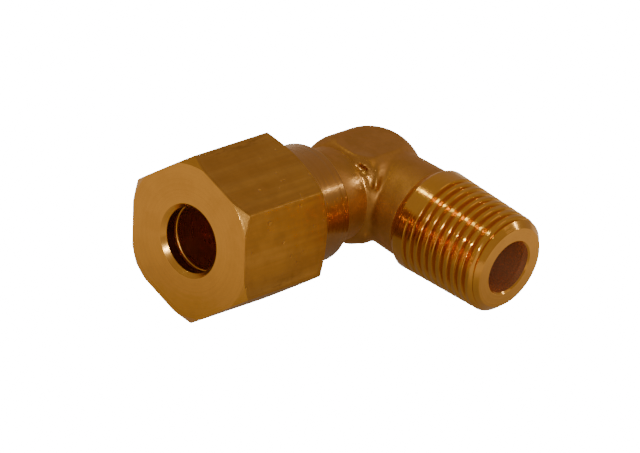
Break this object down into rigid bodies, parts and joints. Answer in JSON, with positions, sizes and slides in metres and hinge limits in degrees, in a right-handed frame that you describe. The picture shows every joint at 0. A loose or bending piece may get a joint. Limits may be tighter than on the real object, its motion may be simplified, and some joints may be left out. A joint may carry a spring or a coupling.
{
  "type": "compression elbow fitting",
  "caption": "Brass 90 degree elbow joining a 6 mm tube, held by a hexagon compression nut and olive, to a taper-threaded R 1/8 male port.",
  "frame": {"origin": "centre of the male port's mouth, on the flat end face of the taper-threaded leg", "axes": "+X points out of the male port, -Y points out of the tube socket, +Z is square to both legs, up, the thinnest direction; the legs' axes cross at x = -18 mm"},
  "size_m": [0.0257, 0.0294, 0.0158],
  "materials": {
    "body_brass": "hot forged skin with turned threads and collar",
    "nut_brass": "drawn hexagon bar with turned ends",
    "olive_brass": "bright turned"
  },
  "bodies": {
    "elbow": {"elbow_body": "body_brass"},
    "ring": {"olive": "olive_brass"},
    "nut": {"compression_nut": "nut_brass"}
  },
  "joints": [
    {"name": "olive_slide", "type": "slide", "parent": "elbow", "child": "ring", "axis": [0, -1, 0], "range_m": [0, 0.00525]},
    {"name": "nut_spin", "type": "hinge", "parent": "ring", "child": "nut", "pos_m": [-0.018, -0.0186, 0], "axis": [0, -1, 0], "range_deg": [0, 1260]}
  ],
  "couplings": [
    {"joint": "olive_slide", "follows": "nut_spin", "m_per_rad": 0.00023873}
  ]
}
